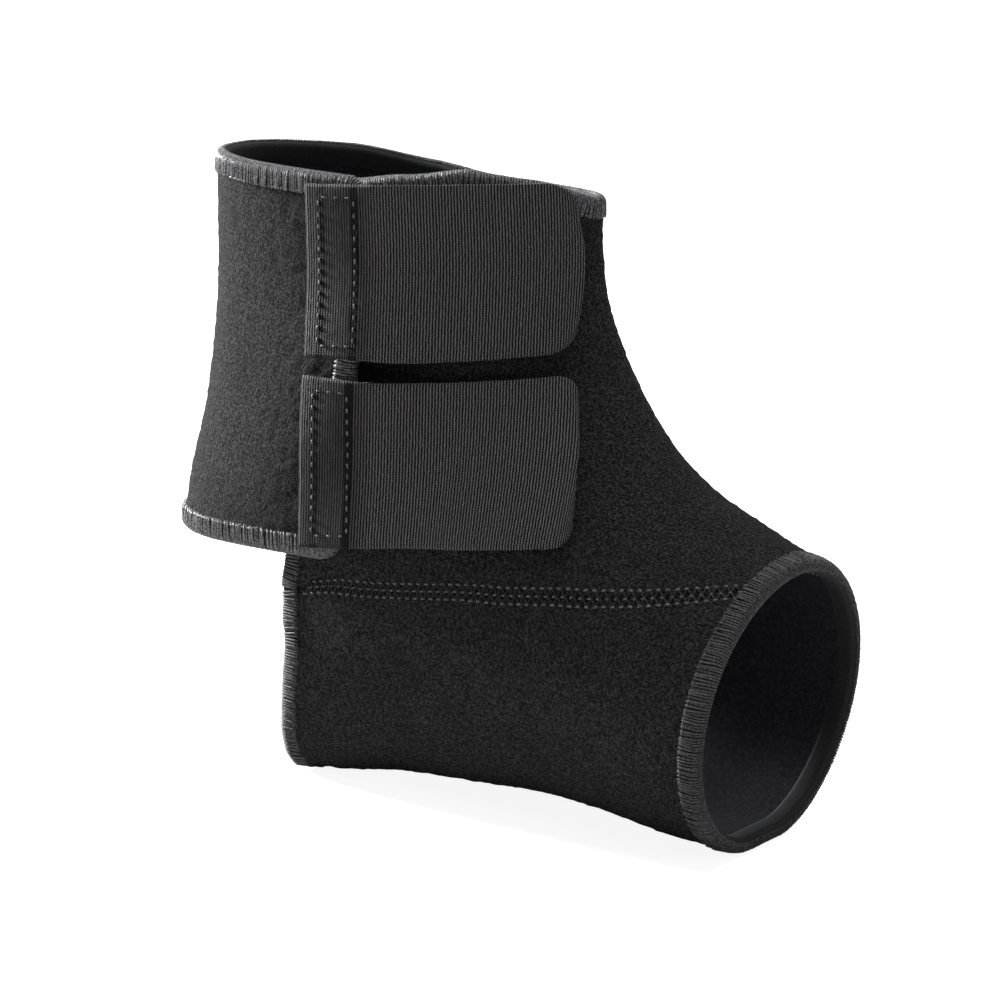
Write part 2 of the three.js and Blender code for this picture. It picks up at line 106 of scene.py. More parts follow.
EDGE_BUILD = 1.2 * MM
LAYER_GAP = 0.3 * MM
FLAP_LIFT = WALL + 2 * EDGE_BUILD + LAYER_GAP
GROUND = WALL / 2 + EDGE_BUILD
GROUND_EASE = 1 * MM
print("flap lies", round(FLAP_LIFT / MM, 1), "mm over the near panel")


# %% The skin as functions
def between(table, position):
    """Value of a table at positions, half straight and half eased between its rows."""
    spots, values = np.array(table, float).T
    after = np.clip(np.searchsorted(spots, position), 1, len(spots) - 1)
    part = np.clip((position - spots[after - 1]) / (spots[after] - spots[after - 1]), 0, 1)
    mixed = 0.5 * (part + part * part * (3 - 2 * part))
    return values[after - 1] + (values[after] - values[after - 1]) * mixed


def section_value(column, row):
    """Smooth value of one column at row numbers that may lie between two rows."""
    index = COLUMNS.index(column)
    values = SECTIONS[:, index]
    padded = np.concatenate([[2 * values[0] - values[1]], values, [2 * values[-1] - values[-2]]])
    low = np.clip(np.floor(row), 0, LAST - 1).astype(int)
    before, start, end, after = (padded[low + step] for step in range(4))
    part = row - low
    bend = 2 * before - 5 * start + 4 * end - after
    twist = 3 * (start - end) + after - before
    return SCALE[index] * (start + 0.5 * part * (end - before + part * (bend + part * twist)))


def side_view(row, turn):
    """Place on a section in side view, before the ground and the rim change its height."""
    share = 0.5 * (1 + np.cos(turn))
    x, y, z = (section_value("back" + c, row) * (1 - share) + section_value("front" + c, row) * share
               for c in "XYZ")
    return x, y, z, share


def smoothstep(value, low, high):
    part = np.clip((value - low) / (high - low), 0, 1)
    return part * part * (3 - 2 * part)


# %% Points and normals of the skin
SHIFT = np.zeros(3)


def body_point(row, turn):
    """Point on the middle of the wall: row along the body, turn round it in radians."""
    x, y, z, share = side_view(row, turn)
    side = np.sin(turn)
    half = np.where(side < 0, section_value("near", row), section_value("far", row))
    power = 1 + section_value("pinch", row) * share**2 - section_value("box", row) * (1 - share) ** 2
    y = y + np.sign(side) * half * np.abs(side) ** power
    over = np.maximum(z - GROUND, 0)
    rise = HEIGHT * between(RIM_RISE, np.degrees(turn)) * smoothstep(row, LAST - RIM_BLEND, LAST)
    return np.stack([x, y, GROUND + over**2 / (over + GROUND_EASE) + rise], axis=-1) + SHIFT


def unit(vectors):
    return vectors / np.maximum(np.linalg.norm(vectors, axis=-1, keepdims=True), 1e-12)


def body_normal(row, turn):
    """Outward direction of the wall."""
    row_step, turn_step = 0.05, math.radians(1.5)
    along_row = body_point(row + row_step, turn) - body_point(row - row_step, turn)
    along_turn = body_point(row, turn + turn_step) - body_point(row, turn - turn_step)
    return unit(np.cross(along_turn, along_row))


def lifted_point(row, turn, lift):
    """Point at a height over the middle of the wall."""
    return body_point(row, turn) + body_normal(row, turn) * np.asarray(lift)[..., None]


def places_of(row, turn, lift=0.0):
    """Places on the skin as rows of row, turn and lift."""
    return np.stack(np.broadcast_arrays(row, turn, lift), axis=-1)


def solve(measure, shape, low, high, rounds=36):
    """Values between low and high at which a measure changes its sign, by halving."""
    low, high = np.full(shape, float(low)), np.full(shape, float(high))
    starts_over = measure(low) > 0
    for _ in range(rounds):
        middle = 0.5 * (low + high)
        same = (measure(middle) > 0) == starts_over
        low, high = np.where(same, middle, low), np.where(same, high, middle)
    return 0.5 * (low + high)


# %% Lines where the cloth is cut
TURN_MARGIN = 0.01
HEEL_ROWS = (5, 9)
HEM_ROWS = (5, 10)


def ahead_of_rear(row, turn):
    """How far a place on the skin lies ahead of the rear edge in side view."""
    x, _, z, _ = side_view(row, turn)
    return x - LENGTH * between(REAR_EDGE, z / HEIGHT)


def turn_where(row, measure, low=TURN_MARGIN, high=math.pi - TURN_MARGIN):
    """Turn on each section at which a measure of row and turn changes its sign."""
    return solve(lambda turn: measure(row, turn), np.shape(row), low, high)


def seam_turn(row):
    """Turn at which a section crosses the side seam."""
    def over(row, turn):
        x, _, z, _ = side_view(row, turn)
        return z - HEIGHT * between(SEAM, x / LENGTH)
    return turn_where(row, over)


def rear_turn(row):
    """Turn at which a section crosses the rear edge."""
    return turn_where(row, ahead_of_rear)


def corner_cut(to_edge, radius=FLAP_CORNER, steepest=0.99):
    """How far a rounded corner cuts in at a distance from the edge next to it."""
    in_corner = np.clip(radius - to_edge, 0, radius * steepest)
    return radius - np.sqrt(radius**2 - in_corner**2)


def flap_end_x(z):
    return LENGTH * between(FLAP_END, z / HEIGHT)


def flap_end_turn(row):
    """Turn at which a section reaches the end of the flap."""
    def short_of_end(row, turn):
        x, _, z, _ = side_view(row, turn)
        return flap_end_x(z) - corner_cut(HEIGHT * FLAP_TOP - z) - x
    return turn_where(row, short_of_end, math.pi + 0.1, 2 * math.pi - 0.3)


def rear_meets_hem(row):
    return side_view(row, rear_turn(row))[2] - HEIGHT * HEM[0][1]


SEAM_END_ROW = float(solve(lambda row: ahead_of_rear(row, seam_turn(row)), 1, *HEEL_ROWS)[0])
HEM_START_ROW = float(solve(rear_meets_hem, 1, *HEM_ROWS)[0])
print("seam ends at row", round(SEAM_END_ROW, 2), "and the hem starts at row", round(HEM_START_ROW, 2))

# %% [markdown]
# ## Finishes
# Black isn't one colour here. The loop pile is a dull charcoal that catches light on its curls, the jersey
# inside is smoother and darker, the hook tape shows fine ribs, and the polyester thread of the edges shines
# a little. One function adds a node with its settings and links, and every colour is an sRGB hex value.


# %% Material helpers
def linear(hex_value):
    """Linear colour of an sRGB hex value."""
    parts = [((hex_value >> shift) & 255) / 255 for shift in (16, 8, 0)]
    return [c / 12.92 if c <= 0.04045 else ((c + 0.055) / 1.055) ** 2.4 for c in parts] + [1.0]


def add(tree, kind, links=None, values=None, **settings):
    """Adds a node. links and values are keyed by the input's name or number."""
    node = tree.nodes.new(kind)
    for name, value in settings.items():
        setattr(node, name, value)
    for key, value in (values or {}).items():
        node.inputs[key].default_value = value
    for key, output in (links or {}).items():
        tree.links.new(output, node.inputs[key])
    return node


def maths(tree, operation, *terms):
    """Result of a maths node whose terms are numbers or other nodes' outputs."""
    node = add(tree, "ShaderNodeMath", operation=operation)
    for socket, term in zip(node.inputs, terms):
        if isinstance(term, bpy.types.NodeSocket):
            tree.links.new(term, socket)
        else:
            socket.default_value = term
    return node.outputs[0]


def speckle(tree, place, scale, detail, roughness=0.5):
    """Noise from 0 to 1 with a number of grains to the metre."""
    values = {"Scale": scale, "Detail": detail, "Roughness": roughness}
    return add(tree, "ShaderNodeTexNoise", {"Vector": place}, values).outputs["Fac"]


def solid_place(tree):
    return add(tree, "ShaderNodeTexCoord").outputs["Object"]


def cloth_place(tree):
    """Metres across and along the flat cloth."""
    return add(tree, "ShaderNodeUVMap", uv_map="cloth").outputs["UV"]


def ramp(tree, factor, low, high, dark, light):
    """Colour that runs from dark to light as the factor goes from low to high."""
    node = add(tree, "ShaderNodeValToRGB", {"Fac": factor})
    for element, position, color in zip(node.color_ramp.elements, (low, high), (dark, light)):
        element.position = position
        element.color = linear(color)
    return node.outputs["Color"]


def finish_named(name, roughness, specular, sheen=0.0):
    """New material with a principled shader whose uniform sockets are set directly."""
    material = bpy.data.materials.new(name)
    material.use_nodes = True
    tree = material.node_tree
    shader = tree.nodes["Principled BSDF"]
    shader.inputs["Roughness"].default_value = roughness
    shader.inputs["Specular IOR Level"].default_value = specular
    shader.inputs["Sheen Weight"].default_value = sheen
    shader.inputs["Sheen Roughness"].default_value = 0.45
    print("made", name)
    return material, tree, shader


def dress(tree, shader, color, height, distance, strength=1.0):
    """Links a colour and a bump height in metres to the shader."""
    bump = add(tree, "ShaderNodeBump", {"Height": height}, {"Distance": distance, "Strength": strength})
    tree.links.new(color, shader.inputs["Base Color"])
    tree.links.new(bump.outputs["Normal"], shader.inputs["Normal"])


# %% Loop pile: brushed unbroken-loop nylon, dull with lighter curls
CURL = 0.72 * MM
FIBRE = 0.45 * MM
BRUSH_SCALE = 55.0
PILE_DEPTH = 3.8 * MM
PILE_DARK = 0x060606
PILE_LIGHT = 0x525052


def loop_pile():
    material, tree, shader = finish_named("brushed_loop_nylon", 0.95, 0.08, sheen=0.06)
    place = solid_place(tree)
    curls = speckle(tree, place, 1 / CURL, 3.0, 0.6)
    fibres = add(tree, "ShaderNodeTexVoronoi", {"Vector": place}, {"Scale": 1 / FIBRE}).outputs["Distance"]
    curl_color = ramp(tree, curls, 0.42, 0.66, PILE_DARK, PILE_LIGHT)
    wide_color = ramp(tree, speckle(tree, place, BRUSH_SCALE, 2.0), 0.35, 0.7, 0xe6e6e6, 0xffffff)
    color = add(tree, "ShaderNodeMix", {6: curl_color, 7: wide_color}, {0: 1.0},
                data_type="RGBA", blend_type="MULTIPLY").outputs[2]
    dress(tree, shader, color, maths(tree, "MULTIPLY_ADD", fibres, 0.25, curls), PILE_DEPTH)
    return material


PILE = loop_pile()

# %% Jersey lining: fine smooth knit bonded to the foam, with faint wales
WALE = 0.9 * MM
WALE_DEPTH = 0.08 * MM
LINT_SCALE = 900.0
LINING_DARK = 0x232327
LINING_LIGHT = 0x37373b


def jersey():
    material, tree, shader = finish_named("bonded_nylon_jersey", 0.85, 0.12)
    wales = add(tree, "ShaderNodeTexWave", {"Vector": cloth_place(tree)},
                {"Scale": 2 * math.pi / WALE / 20, "Distortion": 1.0, "Detail": 1.0}, bands_direction="X")
    lint = speckle(tree, solid_place(tree), LINT_SCALE, 2.0)
    color = ramp(tree, lint, 0.4, 0.78, LINING_DARK, LINING_LIGHT)
    dress(tree, shader, color, wales.outputs["Fac"], WALE_DEPTH, 0.6)
    return material


JERSEY = jersey()

# %% Foam: the cut edge of the laminate between the two fabrics
FOAM_CELL = 0.4 * MM
FOAM_DEPTH = 0.15 * MM


def foam():
    material, tree, shader = finish_named("closed_cell_foam", 0.95, 0.2)
    cells = add(tree, "ShaderNodeTexVoronoi", {"Vector": solid_place(tree)}, {"Scale": 1 / FOAM_CELL})
    color = ramp(tree, cells.outputs["Distance"], 0.2, 0.7, 0x151516, 0x242425)
    dress(tree, shader, color, cells.outputs["Distance"], FOAM_DEPTH)
    return material


LAMINATE = [PILE, JERSEY, foam()]

# %% Hook tape: woven nylon with ribs along the weft and a dot where each thread crosses
# The box stitches pull two grooves into the sewn end, which lies flatter than the free end. Along the
# grooves the colour is darkened as painted shade, and the sewn end is painted darker than the free end, also
# as shade.
RIB = 0.87 * MM
DOT = 0.62 * MM
WEAVE_DRIFT = 3.0
WEAVE_DEPTH = 0.35 * MM
GROOVES = (5.5 * MM, 16.4 * MM)
GROOVE_SHADE_WIDTH = 1.4 * MM
# Painted shade on the sewn end: its colour is cut to a share of itself and eases back to full across the
# sewn zone.
SEWN_ZONE = (17 * MM, 24 * MM)
SEWN_SHADE = 0.4
TAPE_DARK = 0x0a0a0a
TAPE_LIGHT = 0x868486
# Colour of the painted shade in the two stitch grooves.
TAPE_GROOVE_SHADE = 0x161616


def hook_tape():
    material, tree, shader = finish_named("woven_hook_tape", 0.7, 0.15)
    parts = add(tree, "ShaderNodeSeparateXYZ", {0: cloth_place(tree)}).outputs
    drift = speckle(tree, solid_place(tree), LINT_SCALE, 1.0)
    waves = []
    for axis, pitch in (("X", RIB), ("Y", DOT)):
        turns = maths(tree, "MULTIPLY", parts[axis], 2 * math.pi / pitch)
        wave = maths(tree, "SINE", maths(tree, "MULTIPLY_ADD", drift, WEAVE_DRIFT, turns))
        waves.append(maths(tree, "MULTIPLY_ADD", wave, 0.5, 0.5))
    dots = maths(tree, "MULTIPLY", *waves)
    height = maths(tree, "MULTIPLY", maths(tree, "MULTIPLY_ADD", dots, 0.9, waves[0]), 0.55)
    color = ramp(tree, height, 0.2, 1.0, TAPE_DARK, TAPE_LIGHT)
    # Painted shade: dark lines along the two stitch grooves, which are not in the tape's shape.
    groove_shade = [maths(tree, "COMPARE", parts["X"], line, GROOVE_SHADE_WIDTH) for line in GROOVES]
    color = add(tree, "ShaderNodeMix", {0: maths(tree, "ADD", *groove_shade), 6: color},
                {7: linear(TAPE_GROOVE_SHADE)}, data_type="RGBA").outputs[2]
    # Painted shade: the sewn end's colour is darkened, rising back to full across the sewn zone.
    flat = add(tree, "ShaderNodeMapRange", {"Value": parts["X"]},
               {"From Min": SEWN_ZONE[0], "From Max": SEWN_ZONE[1], "To Min": SEWN_SHADE, "To Max": 1.0})
    shaded = add(tree, "ShaderNodeVectorMath", {0: color, "Scale": flat.outputs["Result"]},
                 operation="SCALE")
    dress(tree, shader, shaded.outputs[0], height, WEAVE_DEPTH)
    return material


TAPE = hook_tape()


# %% Thread: textured polyester, a little shiny, and the darker thread bed under the strands
PLY_SCALE = 1 / (0.5 * MM)
PLY_DEPTH = 0.12 * MM


def polyester(name, dark, light, roughness):
    material, tree, shader = finish_named(name, roughness, 0.45)
    plies = speckle(tree, solid_place(tree), PLY_SCALE, 2.0)
    dress(tree, shader, ramp(tree, plies, 0.35, 0.7, dark, light), plies, PLY_DEPTH)
    return material


# The overlock thread is made in two colours. The lighter one is painted highlight for the lit hem and top
# rim, and the darker one is painted shade for the front rim, heel edge and near edge. Their roughness
# differs as well.
LIT_THREAD = polyester("lit_textured_polyester_thread", 0x222223, 0x959496, 0.42)
DULL_SHADED_THREAD = polyester("dull_shaded_polyester_thread", 0x161617, 0x656466, 0.6)
BED = polyester("matted_polyester_thread", 0x18181a, 0x28282a, 0.8)
NEEDLE = polyester("spun_polyester_needle_thread", 0x262627, 0x7a797b, 0.45)

# %% [markdown]
# ## Cloth from places
# A panel is a sheet of places on the skin. The outer face is the place lifted by half the wall, the inner
# face the same distance inwards, and a narrow foam rim closes the two. Towards a cut edge the laminate is
# squeezed thin by the thread that wraps it. The pile is lifted unevenly, point by point, so that the
# outline isn't clean.

# %% Cloth builder
PILE_UNEVEN = 0.2 * MM
PILE_TUFT = 2.2 * MM


def placed_object(name, data):
    """New object in the scene."""
    obj = bpy.data.objects.new(name, data)
    bpy.context.collection.objects.link(obj)
    return obj


def numbered(rows, columns):
    """Point numbers of a grid."""
    return np.arange(rows * columns).reshape(rows, columns)


def grid_faces(numbers):
    """Four-sided faces of a grid of point numbers."""
    a, b = numbers[:-1, :-1], numbers[:-1, 1:]
    c, d = numbers[1:, 1:], numbers[1:, :-1]
    return np.stack([a, b, c, d], axis=-1).reshape(-1, 4)


def cloth_object(name, places, faces, thickness, squeeze, uneven, uvs, materials):
    """Closed sheet: places are rows of row, turn and lift, squeeze is the share of the thickness left."""
    row, turn, lift = places.T
    normal = body_normal(row, turn)
    middle = body_point(row, turn) + normal * lift[:, None]
    half = 0.5 * thickness * squeeze
    bumps = np.array([noise.noise(Vector(point) / PILE_TUFT) for point in middle]) * 2 * uneven
    random = bumps * np.clip(squeeze * 2 - 1, 0, 1)
    points = np.concatenate([middle + normal * (half + random)[:, None], middle - normal * half[:, None]])
    count = len(row)
    edges = np.concatenate([faces[:, [k, (k + 1) % 4]] for k in range(4)])
    keys, back = (edges[:, first] * count + edges[:, 1 - first] for first in (0, 1))
    rim = edges[~np.isin(keys, back)]
    rim_faces = np.stack([rim[:, 1], rim[:, 0], rim[:, 0] + count, rim[:, 1] + count], axis=-1)
    every = np.concatenate([faces, faces[:, ::-1] + count, rim_faces])
    mesh = bpy.data.meshes.new(name)
    mesh.from_pydata(points.tolist(), [], every.tolist())
    slots = np.repeat([0, 1, 2], [len(faces), len(faces), len(rim_faces)])
    mesh.polygons.foreach_set("material_index", slots.astype(np.int32))
    mesh.polygons.foreach_set("use_smooth", np.ones(len(every), bool))
    layer = mesh.uv_layers.new(name="cloth")
    layer.data.foreach_set("uv", np.concatenate([uvs, uvs])[every.ravel()].astype(np.float32).ravel())
    for material in materials:
        mesh.materials.append(material)
    mesh.validate()
    print(name, "has", len(mesh.polygons), "faces")
    return placed_object(name, mesh)


def run_length(points, axis):
    """Distances in metres from the first points of a grid, taken along one of its axes."""
    steps = np.linalg.norm(np.diff(points, axis=axis), axis=-1)
    start = np.zeros_like(np.take(steps, [0], axis=axis))
    return np.concatenate([start, np.cumsum(steps, axis=axis)], axis=axis)


def cloth_uvs(points):
    """Metres across a grid of points from its middle line, and down it."""
    across = run_length(points, 1)
    return np.stack([across - across[:, [across.shape[1] // 2]], run_length(points, 0)], axis=-1)


def squeeze_shares(points, width, shares):
    """Share of the thickness left on a grid whose first, last, left and right edges keep these shares."""
    down, side = run_length(points, 0), run_length(points, 1)
    distances = (down, down[-1:] - down, side, side[:, -1:] - side)
    return np.minimum.reduce([share + (1 - share) * smoothstep(distance, 0, width)
                              for distance, share in zip(distances, shares)])


# %% Panel steps
SEAM_GAP = 0.25 * MM
FOOT_FINE = 78
LEG_FINE = 86
ROUND_FINE = 180
WRAP_FINE = 120
EDGE_SQUEEZE = 0.5
SEAM_SQUEEZE = 0.72
SQUEEZE_WIDTH = 3 * MM


def eased(steps):
    """Values from 0 to 1 that are closer together near both ends."""
    t = np.linspace(0, 1, steps + 1)
    return 0.6 * t + 0.4 * t * t * (3 - 2 * t)


def nudge(row, turn, distance):
    """Turn moved along the wall by a distance."""
    step = 0.01
    moved = body_point(row, turn + step) - body_point(row, turn - step)
    return turn + distance / (np.linalg.norm(moved, axis=-1) / (2 * step))


def wrap_lift(turn):
    return FLAP_LIFT * smoothstep(np.degrees(turn), *WRAP_RAMP)


def wrap_place(across, up):
    """Places on the wrap: across from the far rear edge to the flap's end, up from hem to rim."""
    across, up = np.broadcast_arrays(np.asarray(across, float), np.asarray(up, float))

    def turn_at(row):
        return rear_turn(row) * (1 - across) + flap_end_turn(row) * across

    def over_hem(row):
        turn = turn_at(row)
        x, _, z, _ = side_view(row, turn)
        return z - HEIGHT * between(HEM, np.degrees(turn)) - corner_cut(flap_end_x(z) - x)

    hem_row = solve(over_hem, across.shape, 6, LAST - 1, rounds=24)
    hem_row = np.where(across == 0, HEM_START_ROW, hem_row)
    row = hem_row * (1 - up) + LAST * up
    turn = turn_at(row)
    return places_of(row, turn, wrap_lift(turn))


# %% Upper panel
def upper_panel():
    steps = 2 * eased(ROUND_FINE) - 1
    foot_rows = eased(FOOT_FINE)[:-1] * SEAM_END_ROW
    leg_rows = HEM_START_ROW + (LAST - HEM_START_ROW) * eased(LEG_FINE)
    join_rows = np.linspace(SEAM_END_ROW, HEM_START_ROW, 7)[:-1]
    rows = np.concatenate([foot_rows, join_rows, leg_rows])
    limit = rear_turn(rows)
    limit[: len(foot_rows)] = nudge(foot_rows, seam_turn(foot_rows), -SEAM_GAP / 2)
    main = places_of(rows[:, None], limit[:, None] * steps[None, :])
    across = eased(WRAP_FINE)[1:]
    wrap = wrap_place(across[None, :], eased(LEG_FINE)[:, None])
    places = np.concatenate([main.reshape(-1, 3), wrap.reshape(-1, 3)])
    main_grid = numbered(*main.shape[:2])
    wrap_grid = numbered(*wrap.shape[:2]) + main_grid.size
    wrap_grid = np.concatenate([main_grid[-len(leg_rows):, -1:], wrap_grid], axis=1)
    faces = np.concatenate([grid_faces(main_grid), grid_faces(wrap_grid)])
    points = body_point(*places[:, :2].T)
    uvs = np.zeros((len(places), 2))
    uvs[main_grid] = cloth_uvs(points[main_grid])
    wrap_uvs = cloth_uvs(points[wrap_grid])
    wrap_uvs += uvs[wrap_grid[:, :1]] - wrap_uvs[:, :1]
    uvs[wrap_grid] = wrap_uvs
    squeeze = np.ones(len(places))
    number = np.arange(len(rows))[:, None]
    near = np.where(number < len(foot_rows), SEAM_SQUEEZE, EDGE_SQUEEZE)
    far = np.where(number < len(rows) - len(leg_rows), near, 1.0)
    for grid, left, right in ((main_grid, near, far), (wrap_grid, 1.0, EDGE_SQUEEZE)):
        shares = (EDGE_SQUEEZE, EDGE_SQUEEZE, left, right)
        squeeze[grid] = np.minimum(squeeze[grid], squeeze_shares(points[grid], SQUEEZE_WIDTH, shares))
    return cloth_object("upper_panel_cloth", places, faces, WALL, squeeze, PILE_UNEVEN, uvs,
                        LAMINATE)


bare = upper_panel()
corners = np.array([corner[:] for corner in bare.bound_box])
cad_low, cad_high = (np.array(corner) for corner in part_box("upper_panel"))
SHIFT = np.append((0.5 * (cad_low + cad_high) - 0.5 * (corners.min(0) + corners.max(0)))[:2], 0.0)
bpy.data.objects.remove(bare)
upper = upper_panel()
print("skin moved into the CAD frame by", (SHIFT / MM).round(2), "mm")

# %% Sole panel
SOLE_FINE = 170
SOLE_LONG = 118


def sole_rear_row(turn):
    return solve(lambda row: ahead_of_rear(row, turn), np.shape(turn), *HEEL_ROWS)


def sole_place(along, across):
    """Places on the sole: along from the toe opening to the rear edge, across from seam to seam."""
    along, across = np.broadcast_arrays(np.asarray(along, float), np.asarray(across, float))
    side = np.abs(across)
    corner = seam_turn(np.array([SEAM_END_ROW]))[0]
    row = along * sole_rear_row(math.pi * (1 - side) + corner * side)
    turn = math.pi * (1 - side) + nudge(row, seam_turn(row), SEAM_GAP / 2) * side
    return places_of(row, np.where(across < 0, 2 * math.pi - turn, turn))


def sole_panel():
    across = 1 - 2 * eased(SOLE_FINE)
    placed = sole_place(eased(SOLE_LONG)[:, None], across[None, :])
    faces = grid_faces(numbered(*placed.shape[:2]))
    points = body_point(placed[..., 0], placed[..., 1])
    squeeze = squeeze_shares(points, SQUEEZE_WIDTH, (EDGE_SQUEEZE, EDGE_SQUEEZE, SEAM_SQUEEZE, SEAM_SQUEEZE))
    return cloth_object("sole_panel_cloth", placed.reshape(-1, 3), faces, WALL, squeeze.ravel(), PILE_UNEVEN,
                        cloth_uvs(points).reshape(-1, 2), LAMINATE)


sole = sole_panel()

# %% [markdown]
# ## Hook straps
# Each strap is a flat tape with rounded free corners, sewn to the flap and pressed on to the near panel. It
# steps down by the thickness of the flap where the flap ends, which is why the tape shows a shallow hollow.

# %% Strap sizes
STRAP_WIDTH = 50 * MM
STRAP_THICKNESS = 1.6 * MM
STRAP_LIFT = WALL / 2 + EDGE_BUILD + LAYER_GAP + STRAP_THICKNESS / 2
STRAP_LEVEL = 1 * MM
STRAP_STEP = 30 * MM
STRAP_CORNER = 5 * MM
TAPE_STEPS = 150
TAPE_ROWS = 84
TAPE_SQUEEZE = 0.55
TAPE_SQUEEZE_WIDTH = 0.8 * MM
TAPE_UNEVEN = 0.03 * MM
STRAPS = [
    {"name": "upper_strap", "sewn": [-0.207, 0.12, 1.0, 4 * MM], "free": [0.1, 0.09, 1.0, -1.9 * MM]},
    {"name": "lower_strap", "sewn": [-0.185, 0.06, 0.95, 5 * MM], "free": [0.167, 0.38, 0.87, 6.2 * MM]},
]


def strap_line(number, along):
    """Middle x and z, lean and half width of a strap in side view."""
    rows = [[a * (1 - along) + b * along for a, b in zip(row["sewn"], row["free"])]
            for row in STRAPS[:number + 1]]
    foot = HEIGHT - sum(space + width * STRAP_WIDTH for _, _, width, space in rows)
    x, lean, width, _ = rows[number]
    return LENGTH * x, foot + 0.5 * width * STRAP_WIDTH, lean, 0.5 * width * STRAP_WIDTH


def strap_length(number):
    return strap_line(number, 1.0)[0] - strap_line(number, 0.0)[0]


def near_place(x, z):
    """Places on the near side of the skin at positions in side view."""
    def ends(row):
        return side_view(row, np.zeros_like(row)), side_view(row, np.full_like(row, math.pi))

    def place_at(height):
        def beside(row):
            front, back = ends(row)
            return (front[0] - back[0]) * (height - back[2]) - (front[2] - back[2]) * (x - back[0])
        row = solve(beside, np.shape(x), 3, LAST + 1)
        front, back = ends(row)
        return row, -np.arccos(np.clip(2 * (x - back[0]) / (front[0] - back[0]) - 1, -1, 1))

    row, turn = place_at(z)
    for _ in range(5):
        rise = body_point(row, turn)[..., 2] - side_view(row, turn)[2]
        row, turn = place_at(z - rise)
    return row, turn


def strap_place(number, along, across):
    """Places on a strap: along from the sewn end to the free end, across from -1 at the foot to 1."""
    along, across = np.broadcast_arrays(np.asarray(along, float), np.asarray(across, float))
    middle_x, middle_z, lean, half = strap_line(number, along)
    offset = across * (half - corner_cut(strap_length(number) * (1 - along), STRAP_CORNER, 0.998))
    x, z = middle_x - offset * lean, middle_z + offset
    down = smoothstep(x - flap_end_x(z), EDGE_BUILD + STRAP_LEVEL, STRAP_STEP)
    row, turn = near_place(x, z)
    return places_of(row, turn, STRAP_LIFT + FLAP_LIFT * (1 - down))


# %% Strap meshes
def strap(number):
    placed = strap_place(number, eased(TAPE_STEPS)[:, None], 1 - 2 * eased(TAPE_ROWS)[None, :])
    points = lifted_point(placed[..., 0], placed[..., 1], placed[..., 2])
    squeeze = squeeze_shares(points, TAPE_SQUEEZE_WIDTH, [TAPE_SQUEEZE] * 4)
    faces = grid_faces(numbered(*placed.shape[:2]))
    uvs = cloth_uvs(points)[..., ::-1].reshape(-1, 2)
    return cloth_object(STRAPS[number]["name"] + "_tape", placed.reshape(-1, 3), faces, STRAP_THICKNESS,
                        squeeze.ravel(), TAPE_UNEVEN, uvs, [TAPE] * 3)


straps = [strap(number) for number in range(len(STRAPS))]

# %% [markdown]
# ## Overlocked edges
# An overlocker wraps a thread round the raw edge of the cloth, loop beside loop, and a needle thread holds
# the loops down a few millimetres in. Here a dark bed of matted thread is swept round the edge, and one
# modelled loop is repeated along it with Geometry Nodes, turned by the direction of the cloth. The loops
# cover the outside and the rim. The inner side is only the smooth bed, as the photograph shows it.

# %% Edge paths as places
EDGE_BAND = 6 * MM
EDGE_STEP = 0.82 * MM
EDGE_JOIN = 0.4
JOIN_ROW = SEAM_END_ROW * (1 - EDGE_JOIN) + HEM_START_ROW * EDGE_JOIN
HEM_CUT = 21 / 24
FINE = 400
CORNER_FINE = 20
HEM_FINE = 80
NEAR_EDGE_TOP = LAST - 0.45
HEEL_SIDE = 0.985
THREAD_JOIN = 0.003


def front_rim_path():
    seam = seam_turn(np.zeros(1))[0]
    return places_of(0.0, np.linspace(-seam, 2 * math.pi - seam, FINE, endpoint=False))


def near_edge_path():
    rows = np.linspace(NEAR_EDGE_TOP, JOIN_ROW, FINE)
    return places_of(rows, -rear_turn(rows))


def heel_edge_path():
    return sole_place(np.ones(FINE), np.linspace(-HEEL_SIDE, HEEL_SIDE, FINE))


def hem_path():
    rows = np.linspace(JOIN_ROW, HEM_START_ROW, CORNER_FINE)
    hem = wrap_place(np.linspace(0, HEM_CUT, FINE)[1:], 0.0)
    return np.concatenate([places_of(rows, rear_turn(rows)), hem])


def top_rim_path():
    hem = wrap_place(np.linspace(HEM_CUT + THREAD_JOIN, 1, HEM_FINE), 0.0)
    end = wrap_place(1.0, np.linspace(0, 1, FINE)[1:])
    rim = wrap_place(np.linspace(1, 0, FINE)[1:], 1.0)
    turns = np.linspace(1, -1, FINE)[1:] * rear_turn(np.array([float(LAST)]))[0]
    return np.concatenate([hem, end, rim, places_of(float(LAST), turns)])


# %% Edge frames
def even_steps(points, step, closed):
    """Path positions at even distances, as numbers of points with fractions."""
    ring = np.concatenate([points, points[:1]]) if closed else points
    far = run_length(ring, 0)
    count = max(int(round(far[-1] / step)), 2)
    wanted = np.linspace(0, far[-1], count, endpoint=not closed)
    return np.interp(wanted, far, np.arange(len(ring)))


def rows_at(path, at):
    """Rows of a path at numbers that may lie between two rows."""
    return np.stack([np.interp(at, np.arange(len(path)), path[:, k]) for k in range(3)], axis=-1)


def smooth_rows(values, closed, rounds):
    """Rows averaged with their neighbours."""
    for _ in range(rounds):
        if closed:
            values = (np.roll(values, 1, 0) + values + np.roll(values, -1, 0)) / 3
        else:
            inner = (values[:-2] + values[1:-1] + values[2:]) / 3
            values = np.concatenate([values[:1], inner, values[-1:]])
    return values


